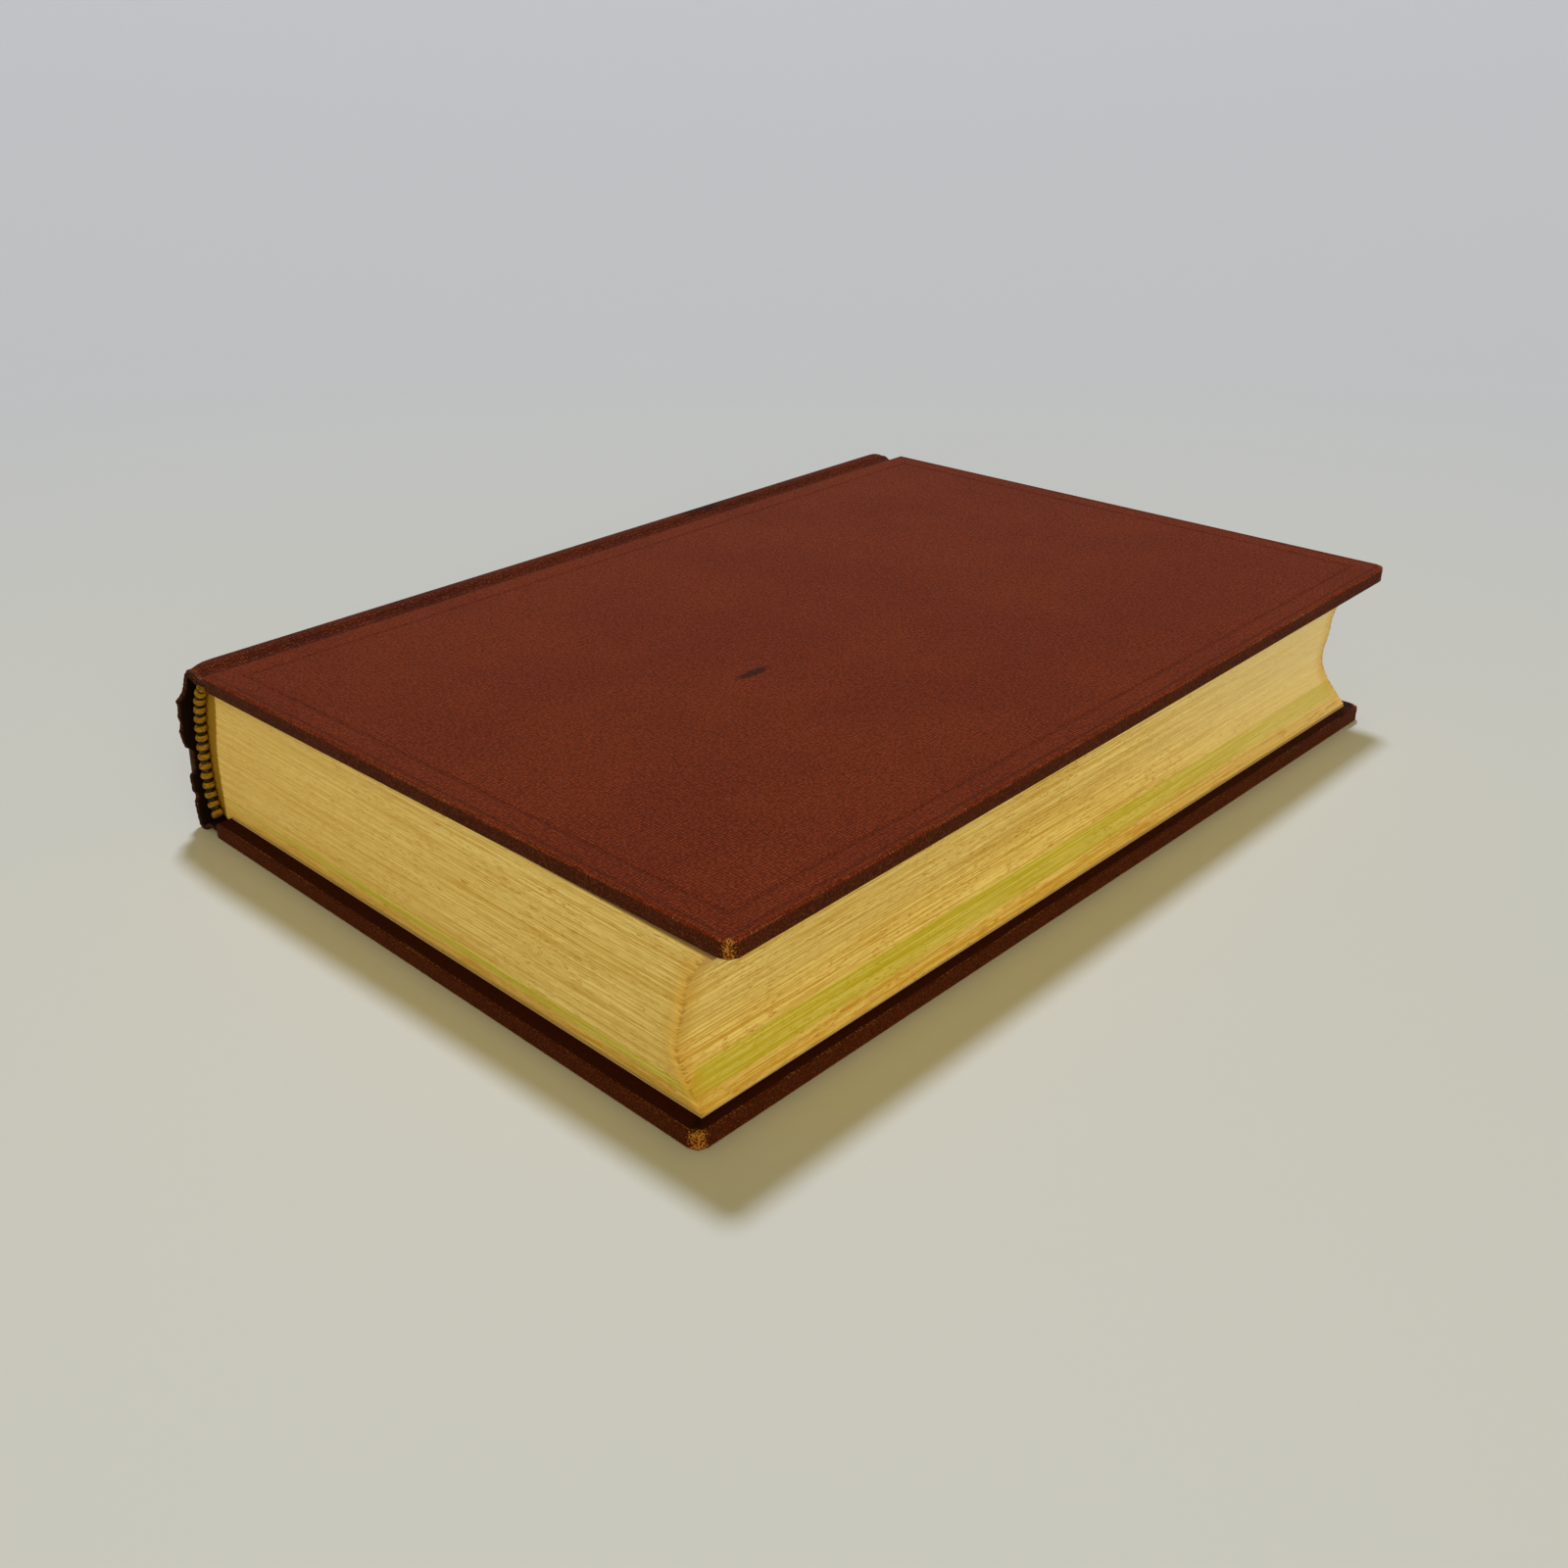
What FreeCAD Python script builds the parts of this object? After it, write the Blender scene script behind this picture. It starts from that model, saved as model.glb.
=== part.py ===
import FreeCAD, Part
import math
import os
import Sketcher

# A cloth-bound hardback book that lies closed on its back cover. The origin is the middle of the
# back cover's underside, +Z is up, +Y runs from tail to head and +X from the spine to the fore-edge.
# The book is cocked: its front cover is turned and shifted, and the leaves and the spine lean with it.

SIZES = {
    # Case
    "cover_height": 195.0,
    "cover_width": 128.7,
    "cover_thick": 3.2,
    "cloth_thick": 0.4,
    "turn_in": 15.0,
    "cover_corner": 2.0,
    "cover_arris": 0.5,
    "rule_inset": 5.0,
    "rule_width": 0.7,
    "rule_depth": 0.12,
    "book_thick": 33.0,
    # Cocked front cover
    "lean_across": 0.66,
    "lean_along": 2.7,
    "lean_turn": 1.216,
    "block_shift": 0.75,
    # Joints
    "groove_width": 4.2,
    "groove_depth": 1.2,
    "joint_clearance": 0.15,
    # Spine
    "spine_bulge": 5.5,
    "spine_corner": 3.5,
    "inlay_thick": 0.5,
    "spine_turn_in": 12.0,
    "chip_depth": 1.2,
    # Text block
    "tail_square": 3.2,
    "fore_square": 2.5,
    "fore_hollow": 5.8,
    "back_round": 5.4,
    "shoulder_rise": 1.6,
    "shoulder_gap": 0.4,
    "shoulder_reach": 2.6,
    "paper_thick": 0.2,
    "leaf_clearance": 0.1,
    # Linings and bands
    "glue_line": 0.1,
    "gauze_thick": 0.3,
    "gauze_short": 16.0,
    "flange_width": 25.0,
    "lining_thick": 0.4,
    "band_tape": 15.0,
    "band_radius": 1.15,
}

document = FreeCAD.newDocument("hardback_book")
sheet = document.addObject("Spreadsheet::Sheet", "Sizes")
for row, (alias, value) in enumerate(SIZES.items(), 1):
    sheet.set(f"A{row}", alias)
    sheet.set(f"B{row}", str(value))
    sheet.setAlias(f"B{row}", alias)
document.recompute()

pieces = []


def size(alias):
    return float(getattr(sheet, alias))


def keep(piece, label):
    """Names a finished sub-part and lists it for checking and writing."""
    piece.Label = label
    pieces.append(piece)


# Covers. Each is built flat, with its cloth face at z = 0 and its inside at cover_thick.

# How far from the middle a sketch's corners are first drawn, before its sizes are set.
DRAWN_REACH = 9.0


def new_body(name, placement):
    body = document.addObject("PartDesign::Body", name)
    body.Placement = placement
    return body


def base_plane(body):
    return next(f for f in body.Origin.OriginFeatures if f.Role == "XY_Plane")


def rectangle(body, name, height, spine_side, fore_side, level):
    """A sketch of a rectangle centred along the book's height, at a level above the cloth face.

    spine_side and fore_side are the distances of its two long sides from the cover's middle.
    """
    sketch = body.newObject("Sketcher::SketchObject", name)
    sketch.AttachmentSupport = (base_plane(body), [""])
    sketch.MapMode = "FlatFace"
    sketch.setExpression("AttachmentOffset.Base.z", level)
    signs = ((-1, -1), (1, -1), (1, 1), (-1, 1))
    corners = [FreeCAD.Vector(x * DRAWN_REACH, y * DRAWN_REACH, 0) for x, y in signs]
    for start, end in zip(corners, corners[1:] + corners[:1]):
        sketch.addGeometry(Part.LineSegment(start, end), False)
    for line in range(4):
        sketch.addConstraint(Sketcher.Constraint("Coincident", line, 2, (line + 1) % 4, 1))
    for line, direction in enumerate(("Horizontal", "Vertical", "Horizontal", "Vertical")):
        sketch.addConstraint(Sketcher.Constraint(direction, line))
    sides = (
        ("spine_side", "DistanceX", (0, 1, -1, 1), spine_side),
        ("fore_side", "DistanceX", (-1, 1, 1, 1), fore_side),
        ("tail_side", "DistanceY", (0, 1, -1, 1), f"({height}) / 2"),
        ("head_side", "DistanceY", (-1, 1, 2, 1), f"({height}) / 2"),
    )
    for side, direction, points, expression in sides:
        index = sketch.addConstraint(Sketcher.Constraint(direction, *points, DRAWN_REACH))
        sketch.renameConstraint(index, side)
        sketch.setExpression(f"Constraints.{side}", expression)
    return sketch


def pad(body, name, sketch, length):
    feature = body.newObject("PartDesign::Pad", name)
    feature.Profile = sketch
    feature.setExpression("Length", length)
    document.recompute()
    return feature


def cut_up(body, name, sketch, depth):
    """A pocket from the sketch towards +Z, which must take material away."""
    before = body.Shape.Volume
    feature = body.newObject("PartDesign::Pocket", name)
    feature.Profile = sketch
    feature.Reversed = True
    feature.setExpression("Length", depth)
    document.recompute()
    if body.Shape.Volume >= before:
        raise RuntimeError(f"{name} cuts nothing")
    return feature


def round_edges(body, name, chosen, radius):
    """Rounds the edges of the body's last feature for which chosen(edge) holds."""
    base = body.Tip
    names = [f"Edge{i}" for i, edge in enumerate(base.Shape.Edges, 1) if chosen(edge)]
    feature = body.newObject("PartDesign::Fillet", name)
    feature.Base = (base, names)
    feature.setExpression("Radius", radius)
    document.recompute()
    return feature


def is_upright_at_fore_edge(edge):
    box = edge.BoundBox
    return box.XLength + box.YLength < 0.001 and box.XMin > 0


def is_on_cloth_face(edge):
    box = edge.BoundBox
    return box.ZMax < 0.001


def plate(name, placement, height, spine_side, fore_side, level, thick):
    """A flat rectangular piece: a sheet, a strip or the start of a board."""
    body = new_body(name, placement)
    outline = rectangle(body, f"{name}_outline", height, spine_side, fore_side, level)
    pad(body, f"{name}_pad", outline, thick)
    return body


def boolean(kind, name, base, tool):
    result = document.addObject(kind, name)
    result.Base = base
    result.Tool = tool
    return result


HALF_WIDTH = "Sizes.cover_width / 2"
BLOCK_HEIGHT = "(Sizes.cover_height - 2 * Sizes.tail_square)"
INNER_WIDTH = f"{HALF_WIDTH} - Sizes.cloth_thick"


def board_form(side, placement):
    """The board inside the cloth, rebated on its inner face where the turn-ins are pressed in."""
    body = plate(
        f"{side}_board_form",
        placement,
        "Sizes.cover_height - 2 * Sizes.cloth_thick",
        INNER_WIDTH,
        INNER_WIDTH,
        "Sizes.cloth_thick",
        "Sizes.cover_thick - 2 * Sizes.cloth_thick",
    )
    radius = "Sizes.cover_corner - Sizes.cloth_thick"
    round_edges(body, f"{side}_board_corners", is_upright_at_fore_edge, radius)
    window = rectangle(
        body,
        f"{side}_board_window",
        "Sizes.cover_height - 2 * Sizes.turn_in",
        INNER_WIDTH,
        f"{HALF_WIDTH} - Sizes.turn_in",
        "Sizes.cover_thick - Sizes.cloth_thick",
    )
    pad(body, f"{side}_board_raised", window, "Sizes.cloth_thick")
    return body


def cloth_form(side, placement):
    """The outside of the covered board."""
    body = plate(
        f"{side}_cloth_form",
        placement,
        "Sizes.cover_height",
        HALF_WIDTH,
        HALF_WIDTH,
        "0 mm",
        "Sizes.cover_thick",
    )
    round_edges(body, f"{side}_cloth_corners", is_upright_at_fore_edge, "Sizes.cover_corner")
    round_edges(body, f"{side}_cloth_arris", is_on_cloth_face, "Sizes.cover_arris")
    return body


def blind_rule(side, placement):
    """The frame of the line that is pressed into the cloth all round."""
    inset = f"{HALF_WIDTH} - Sizes.rule_inset"
    height = "Sizes.cover_height - 2 * Sizes.rule_inset"
    body = plate(f"{side}_rule_form", placement, height, inset, inset, "0 mm", "Sizes.rule_depth")
    inside = rectangle(
        body,
        f"{side}_rule_inside",
        f"{height} - 2 * Sizes.rule_width",
        f"{inset} - Sizes.rule_width",
        f"{inset} - Sizes.rule_width",
        "0 mm",
    )
    cut_up(body, f"{side}_rule_middle", inside, "Sizes.rule_depth")
    return body


def gauze_flange(side, placement):
    """The wing of the spine gauze, sunk into the board along its spine edge."""
    return plate(
        f"{side}_flange_form",
        placement,
        f"{BLOCK_HEIGHT} - 2 * Sizes.gauze_short",
        INNER_WIDTH,
        f"Sizes.cloth_thick + Sizes.flange_width - {HALF_WIDTH}",
        "Sizes.cover_thick - Sizes.gauze_thick",
        "Sizes.gauze_thick",
    )


def joint_strip(side, placement):
    """The cover's half of the cloth that dips into the joint groove."""
    return plate(
        f"{side}_joint_strip",
        placement,
        "Sizes.cover_height",
        f"{HALF_WIDTH} + Sizes.groove_width / 2 - Sizes.joint_clearance",
        f"Sizes.cloth_thick - {HALF_WIDTH}",
        "Sizes.groove_depth",
        "Sizes.cloth_thick",
    )


def pastedown(side, placement):
    """The endpaper leaf pasted over the turn-ins, as large as the leaves."""
    return plate(
        f"{side}_paste_leaf",
        placement,
        BLOCK_HEIGHT,
        INNER_WIDTH,
        f"{HALF_WIDTH} - Sizes.fore_square",
        "Sizes.cover_thick",
        "Sizes.paper_thick",
    )


def make_cover(side, placement):
    """One cover: board, cloth with its half of the joint, gauze flange and pastedown."""
    form = board_form(side, placement)
    flange = gauze_flange(side, placement)
    board = boolean("Part::Cut", f"{side}_seated_board", form, flange)
    skin = boolean("Part::Fuse", f"{side}_skin", cloth_form(side, placement), joint_strip(side, placement))
    ruled = boolean("Part::Cut", f"{side}_ruled_skin", skin, blind_rule(side, placement))
    cloth = boolean("Part::Cut", f"{side}_wrapped_skin", ruled, form)
    document.recompute()
    keep(board, f"{side}_board")
    keep(cloth, f"{side}_cover_cloth")
    keep(flange, f"{side}_gauze_flange")
    keep(pastedown(side, placement), f"{side}_pastedown")


# Leaves, linings and spine. Each is a section across the spine, drawn at the tail and at the head and
# joined by straight lines. A section leans with its height, as the front cover has moved.


def half_cover():
    return size("cover_width") / 2


def lean(point, end_y, along):
    """Moves a section's point (x, z) with the lean at its height, at one end of the book."""
    x, z = point
    share = z / size("book_thick")
    turn = math.radians(size("lean_turn"))
    across = size("lean_across") - end_y * math.sin(turn)
    return FreeCAD.Vector(x + share * across, end_y + share * along, z)


def mirrored(points):
    """A lower half outline and the same points above mid-height, in order."""
    top = size("book_thick")
    return points + [(x, top - z) for x, z in reversed(points)]


def smooth_edge(points, end_y, along, part=(0.0, 1.0)):
    curve = Part.BSplineCurve()
    curve.buildFromPoles([lean(point, end_y, along) for point in points])
    curve.segment(*part)
    return curve.toShape()


def line_edge(start, end):
    return Part.LineSegment(start, end).toShape()


def first_point(edge):
    return edge.valueAt(edge.FirstParameter)


def last_point(edge):
    return edge.valueAt(edge.LastParameter)


def layer_section(inner, outer, end_y, along, part=(0.0, 1.0)):
    """The closed outline between two curves, at one end of the book."""
    low = smooth_edge(inner, end_y, along, part)
    high = smooth_edge(outer, end_y, along, part)
    sides = [
        line_edge(last_point(low), last_point(high)),
        line_edge(first_point(high), first_point(low)),
    ]
    return Part.Wire(Part.__sortEdges__([low, sides[0], high, sides[1]]))


def layer(inner, outer, tail_y, head_y, along, part=(0.0, 1.0)):
    sections = [layer_section(inner, outer, y, along, part) for y in (tail_y, head_y)]
    return Part.makeLoft(sections, True, True)


def block_end():
    return size("cover_height") / 2 - size("tail_square")


def leaf_level():
    """Height of the lowest leaf of the block, above pastedown, clearance and endpaper."""
    return size("cover_thick") + 2 * size("paper_thick") + size("leaf_clearance")


def back_curve(offset):
    """The rounded, backed folds, offset outwards for the layers glued over them."""
    joint_x = -half_cover()
    reach = size("shoulder_reach")
    rise = size("shoulder_rise")
    tip = leaf_level() - rise - offset
    back_x = joint_x - size("back_round") - offset
    half = [
        (joint_x - size("shoulder_gap") - 0.2 * reach, tip),
        (joint_x - size("shoulder_gap") - reach, tip + 0.25 * rise),
        (back_x, tip + 2.0 * rise),
        (back_x - 0.17 * size("back_round"), 0.38 * size("book_thick")),
    ]
    return mirrored(half)


def spine_curve(inset):
    """The outside of the spine cloth from joint to joint, inset for the layers behind it."""
    joint_x = -half_cover()
    crown = joint_x - size("groove_width")
    corner = crown - size("spine_corner") + inset
    bulge = crown - size("spine_bulge") + inset
    groove = size("groove_depth") + inset
    face = inset - 0.08 * size("groove_depth")
    half = [
        (crown + size("groove_width") / 2 - size("joint_clearance"), groove),
        (crown + 0.07 * size("groove_width"), groove),
        (crown - 0.2 * size("groove_width"), face),
        (corner, face),
        (corner - 0.2 * size("spine_corner"), inset + 0.14 * size("book_thick")),
        (bulge, 0.33 * size("book_thick")),
    ]
    return mirrored(half)


# Outline of the fore-edge: shares of the hollow's depth and of the leaves' height, from the bottom.
FORE_OUTLINE = ((0.0, 0.0), (0.37, 0.09), (1.3, 0.29), (0.76, 0.57), (0.9, 0.8), (0.18, 1.0))


def fore_curve():
    """The hollow of the fore-edge, deepest a little below the middle."""
    edge_x = half_cover() - size("fore_square")
    low = leaf_level()
    height = size("book_thick") - 2 * low
    return [(edge_x - deep * size("fore_hollow"), low + up * height) for deep, up in FORE_OUTLINE]


def block_section(end_y):
    """The leaves' outline: flat faces, hollow fore-edge, and a back flared into two shoulders."""
    along = size("block_shift")
    flare_x = -half_cover() - size("shoulder_gap")
    low = leaf_level()
    high = size("book_thick") - low
    back = smooth_edge(back_curve(0), end_y, along)
    fore = smooth_edge(fore_curve(), end_y, along)
    low_flare = lean((flare_x, low), end_y, along)
    high_flare = lean((flare_x, high), end_y, along)
    edges = [
        back,
        line_edge(last_point(back), high_flare),
        line_edge(high_flare, last_point(fore)),
        fore,
        line_edge(first_point(fore), low_flare),
        line_edge(low_flare, first_point(back)),
    ]
    return Part.Wire(Part.__sortEdges__(edges))


def leaf(low, high):
    """A single flat leaf from the flare to the fore-edge."""
    along = size("block_shift")
    left = -half_cover() - size("shoulder_gap")
    right = half_cover() - size("fore_square")
    outline = ((left, low), (right, low), (right, high), (left, high), (left, low))
    ends = (-block_end(), block_end())
    sections = [Part.makePolygon([lean(point, y, along) for point in outline]) for y in ends]
    return Part.makeLoft(sections, True, True)


def band(end, towards):
    """A worked band: a round bead against the leaves' end, and its tape glued to the back."""
    along = size("block_shift")
    radius = size("band_radius")
    bead_y = end + towards * radius
    core = [(x + 0.3 * radius, z) for x, z in back_curve(0)]
    path = smooth_edge(core, bead_y, along, BEAD_PART)
    ring = Part.Wire(Part.makeCircle(radius, first_point(path), path.tangentAt(path.FirstParameter)))
    bead = Part.Wire(path).makePipeShell([ring], True, True)
    inner_end = end - towards * size("band_tape")
    limits = sorted((end + towards * radius / 2, inner_end))
    glue = size("glue_line")
    tape = layer(back_curve(glue), back_curve(glue + size("gauze_thick")), *limits, along, GAUZE_PART)
    return bead.fuse(tape).removeSplitter()


# Stretches of the curves that the layers cover, as shares of the curve's length.
INLAY_PART = (0.2, 0.8)
GAUZE_PART = (0.12, 0.88)
LINING_PART = (0.15, 0.85)
BEAD_PART = (0.09, 0.91)

# Bites out of the cloth's tail end: sides as shares of the thickness, depth as a share of chip_depth.
CHIPS = ((0.31, 0.49, 0.85), (0.6, 0.68, 0.35), (0.155, 0.21, 0.4))


def spine_lean():
    """How far the spine's top moves along, so that it stays in line with the front cover."""
    return size("lean_along") - half_cover() * math.sin(math.radians(size("lean_turn")))


def spine_cloth_shape():
    """The cloth over the inlay: its outside, the wrapped ends and the turn-ins behind."""
    along = spine_lean()
    end = size("cover_height") / 2
    cloth = size("cloth_thick")
    behind = cloth + size("inlay_thick") + 2 * size("glue_line")
    shape = layer(spine_curve(0), spine_curve(cloth), -end, end, along)
    for towards in (-1, 1):
        edge_y = towards * end
        wrap = sorted((edge_y, edge_y - towards * cloth))
        fold = sorted((edge_y, edge_y - towards * size("spine_turn_in")))
        wrapped_end = layer(spine_curve(cloth), spine_curve(behind), *wrap, along, INLAY_PART)
        turned_in = layer(spine_curve(behind), spine_curve(behind + cloth), *fold, along, INLAY_PART)
        shape = shape.fuse([wrapped_end, turned_in])
    return shape.removeSplitter()


def chip(low_share, high_share, depth_share):
    """A bite out of the cloth's tail end, as a prism through the spine's back."""
    end = -size("cover_height") / 2
    depth = depth_share * size("chip_depth")
    low = low_share * size("book_thick")
    high = high_share * size("book_thick")
    clear = end - size("tail_square")
    left = -half_cover() - 2 * size("spine_bulge") - size("groove_width")
    right = -half_cover() - size("groove_width")
    outline = (
        (clear, low),
        (end + depth, low + 0.25 * (high - low)),
        (end + 0.8 * depth, high),
        (clear, high),
        (clear, low),
    )
    face = Part.Face(Part.makePolygon([FreeCAD.Vector(left, y, z) for y, z in outline]))
    return face.extrude(FreeCAD.Vector(right - left, 0, 0))


def solid_piece(label, shape):
    piece = document.addObject("Part::Feature", label)
    piece.Shape = shape
    keep(piece, label)


def make_text_block():
    low = leaf_level()
    high = size("book_thick") - low
    paper = size("paper_thick")
    end = block_end()
    along = size("block_shift")
    block = Part.makeLoft([block_section(y) for y in (-end, end)], True, True)
    solid_piece("page_block", block)
    solid_piece("back_free_endpaper", leaf(low - paper, low))
    solid_piece("front_free_endpaper", leaf(high, high + paper))
    glue = size("glue_line")
    gauze = glue + size("gauze_thick")
    reach = end - size("gauze_short")
    solid_piece("spine_gauze", layer(back_curve(glue), back_curve(gauze), -reach, reach, along, GAUZE_PART))
    lining = (back_curve(gauze + glue), back_curve(gauze + glue + size("lining_thick")))
    solid_piece("spine_lining", layer(*lining, -end, end, along, LINING_PART))
    solid_piece("tail_band", band(-end, -1))
    solid_piece("head_band", band(end, 1))


def make_spine():
    along = spine_lean()
    cloth = size("cloth_thick")
    face = cloth + size("glue_line")
    back = face + size("inlay_thick")
    inlay_end = size("cover_height") / 2 - face
    inlay = layer(spine_curve(face), spine_curve(back), -inlay_end, inlay_end, along, INLAY_PART)
    cloth_shape = spine_cloth_shape()
    for bite in CHIPS:
        cloth_shape = cloth_shape.cut(chip(*bite))
        inlay = inlay.cut(chip(*bite))
    solid_piece("spine_cloth", cloth_shape)
    solid_piece("spine_inlay", inlay)


def front_placement():
    """The front cover turned over on to the leaves, with its turn and shift."""
    flip = FreeCAD.Placement(FreeCAD.Vector(0, 0, 0), FreeCAD.Rotation(FreeCAD.Vector(1, 0, 0), 180))
    turn = FreeCAD.Rotation(FreeCAD.Vector(0, 0, 1), size("lean_turn"))
    shift = FreeCAD.Vector(size("lean_across"), size("lean_along"), size("book_thick"))
    return FreeCAD.Placement(shift, turn).multiply(flip)


def check_and_write():
    document.recompute()
    for thing in document.Objects:
        if {"Invalid", "Error"} & set(thing.State):
            raise RuntimeError(f"{thing.Label} failed: {thing.State}")
    os.makedirs("parts", exist_ok=True)
    for piece in pieces:
        if piece.Shape.isNull() or not piece.Shape.isValid():
            raise RuntimeError(f"{piece.Label} has no valid shape")
    for piece in pieces:
        piece.Shape.exportStep(os.path.join("parts", f"{piece.Label}.step"))


make_cover("back", FreeCAD.Placement())
make_cover("front", front_placement())
make_text_block()
make_spine()
check_and_write()
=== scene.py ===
import math

import bpy
import numpy as np
from mathutils import Matrix, Vector


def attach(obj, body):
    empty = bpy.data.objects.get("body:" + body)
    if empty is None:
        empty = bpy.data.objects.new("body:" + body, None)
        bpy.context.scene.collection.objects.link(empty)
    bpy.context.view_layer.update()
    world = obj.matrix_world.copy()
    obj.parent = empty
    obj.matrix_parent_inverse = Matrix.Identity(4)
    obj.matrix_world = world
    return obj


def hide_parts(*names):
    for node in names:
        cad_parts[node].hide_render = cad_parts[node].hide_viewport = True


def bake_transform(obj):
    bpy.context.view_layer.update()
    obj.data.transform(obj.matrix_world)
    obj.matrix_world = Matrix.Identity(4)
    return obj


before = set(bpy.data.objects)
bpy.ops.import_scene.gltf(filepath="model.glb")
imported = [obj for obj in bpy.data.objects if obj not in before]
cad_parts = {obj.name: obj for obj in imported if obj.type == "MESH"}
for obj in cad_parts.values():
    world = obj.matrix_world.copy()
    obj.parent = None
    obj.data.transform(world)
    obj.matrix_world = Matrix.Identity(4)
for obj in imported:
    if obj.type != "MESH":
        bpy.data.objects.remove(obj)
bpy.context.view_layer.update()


# Leaves: the text block, sewn sections of cream paper, trimmed on three sides, rounded and backed.
# The paper has browned from its edges inwards. The block has sunk and twisted in its case, so the
# leaves lean more the higher they lie.

COVER_HEIGHT = 195.0
COVER_WIDTH = 128.7
BOOK_THICK = 33.0
TAIL_SQUARE = 3.2
FORE_SQUARE = 2.5
LEAF_LEVEL = 3.7
LEAN_ACROSS = 0.66
LEAN_TURN = math.radians(1.216)
BLOCK_SHIFT = 0.75
HALF_WIDTH = COVER_WIDTH / 2
HALF_HEIGHT = COVER_HEIGHT / 2
BLOCK_END = HALF_HEIGHT - TAIL_SQUARE
FLARE_X = -HALF_WIDTH - 0.4
BACK_ROUND = 5.4
SHOULDER_RISE = 1.6
SHOULDER_REACH = 2.6
FORE_HOLLOW = 5.8


def leaned(x, y, z, shift):
    """Moves points with the cocked book's lean, which grows with their height."""
    share = z / BOOK_THICK
    across = LEAN_ACROSS - y * math.sin(LEAN_TURN)
    return np.stack([x + share * across, y + share * shift, z], -1)


def smooth_curve(poles, at):
    """Points of the even cubic spline with these poles, at shares from 0 to 1 of its length."""
    poles = np.array(poles, float)
    at = np.clip(np.asarray(at, float), 0, 1 - 1e-9)
    knots = np.concatenate([[0] * 3, np.linspace(0, 1, len(poles) - 2), [1] * 3])
    span = np.searchsorted(knots, at, side="right") - 1
    near = [poles[span - 3 + i] for i in range(4)]
    for level in range(1, 4):
        for i in range(3, level - 1, -1):
            low = knots[span - 3 + i]
            share = ((at - low) / (knots[span + 1 + i - level] - low))[..., None]
            near[i] = (1 - share) * near[i - 1] + share * near[i]
    return near[3]


def mirrored(points):
    """Adds the same points from the other side of the book's middle height, in turned order."""
    return points + [(x, BOOK_THICK - z) for x, z in reversed(points)]


def back_outline(offset=0.0):
    """The rounded, backed folds, offset outwards for what is glued over them."""
    tip = LEAF_LEVEL - SHOULDER_RISE - offset
    crown = -HALF_WIDTH - BACK_ROUND - offset
    return mirrored([
        (FLARE_X - 0.2 * SHOULDER_REACH, tip),
        (FLARE_X - SHOULDER_REACH, tip + 0.4),
        (crown, tip + 2 * SHOULDER_RISE),
        (crown - 0.17 * BACK_ROUND, 0.38 * BOOK_THICK),
    ])


def fore_outline():
    """The hollow fore-edge, deepest a little below the middle."""
    height = BOOK_THICK - 2 * LEAF_LEVEL
    shares = ((0, 0), (0.37, 0.09), (1.3, 0.29), (0.76, 0.57), (0.9, 0.8), (0.18, 1))
    edge = HALF_WIDTH - FORE_SQUARE
    return [(edge - FORE_HOLLOW * deep, LEAF_LEVEL + up * height) for deep, up in shares]


def place_at(poles, heights):
    """Where the spline with these poles passes each height."""
    fine = smooth_curve(poles, np.linspace(0, 1, 800))
    return np.interp(heights, fine[:, 1], fine[:, 0])


def make_piece(name, points, faces, body, stands_for=()):
    """A mesh piece from points in millimetres, riding on a body of the frame if one is given."""
    mesh = bpy.data.meshes.new(name)
    mesh.from_pydata((np.asarray(points).reshape(-1, 3) * 0.001).tolist(), [], faces)
    mesh.validate()
    mesh.shade_smooth()
    piece = bpy.data.objects.new(name, mesh)
    bpy.context.scene.collection.objects.link(piece)
    if body:
        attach(piece, body)
    if stands_for:
        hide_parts(*stands_for)
    return piece


def grid_faces(rows, columns, closed=False, first=0):
    """Quads of a grid of points, row by row, closed round the columns if asked."""
    faces = []
    for r in range(rows - 1):
        for c in range(columns if closed else columns - 1):
            after = (c + 1) % columns
            low = first + r * columns
            faces.append((low + c, low + after, low + columns + after, low + columns + c))
    return faces


def store(piece, **values):
    """Stores a number for each point of a piece, which its material can read by name."""
    for name, value in values.items():
        attribute = piece.data.attributes.new(name, "FLOAT", "POINT")
        attribute.data.foreach_set("value", np.asarray(value, np.float32).ravel())


LAYERS = 150
BACK_LEVEL = LEAF_LEVEL - SHOULDER_RISE
up_block = np.linspace(0, 1, LAYERS)
leaf_z = LEAF_LEVEL + up_block * (BOOK_THICK - 2 * LEAF_LEVEL)
back_z = BACK_LEVEL + up_block * (BOOK_THICK - 2 * BACK_LEVEL)
fore_x = place_at(fore_outline(), leaf_z)
back_x = place_at(back_outline(), back_z)

# Each layer's edge stands out a little, a few have slipped back, and each section swells in its middle.
SECTIONS = 17
SECTION_SWELL = 0.035
EDGE_SPREAD = 0.022
SLIPPED_BACK, SLIPPED_SHARE = 0.12, 0.05
rng = np.random.default_rng(11)
ragged = rng.normal(0, EDGE_SPREAD, LAYERS) - SLIPPED_BACK * (rng.random(LAYERS) < SLIPPED_SHARE)
ragged += SECTION_SWELL * np.abs(np.sin(up_block * math.pi * SECTIONS))
ragged[[0, -1]] = 0

FLAT_STEPS = 56
BACK_STEPS = 10
BACK_BEND = 1.3
INTO_BACK = np.linspace(0, 1, 9)[1:]
ALONG_FORE = np.sin(np.linspace(-1, 1, 60) * math.pi / 2)[1:-1]


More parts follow.
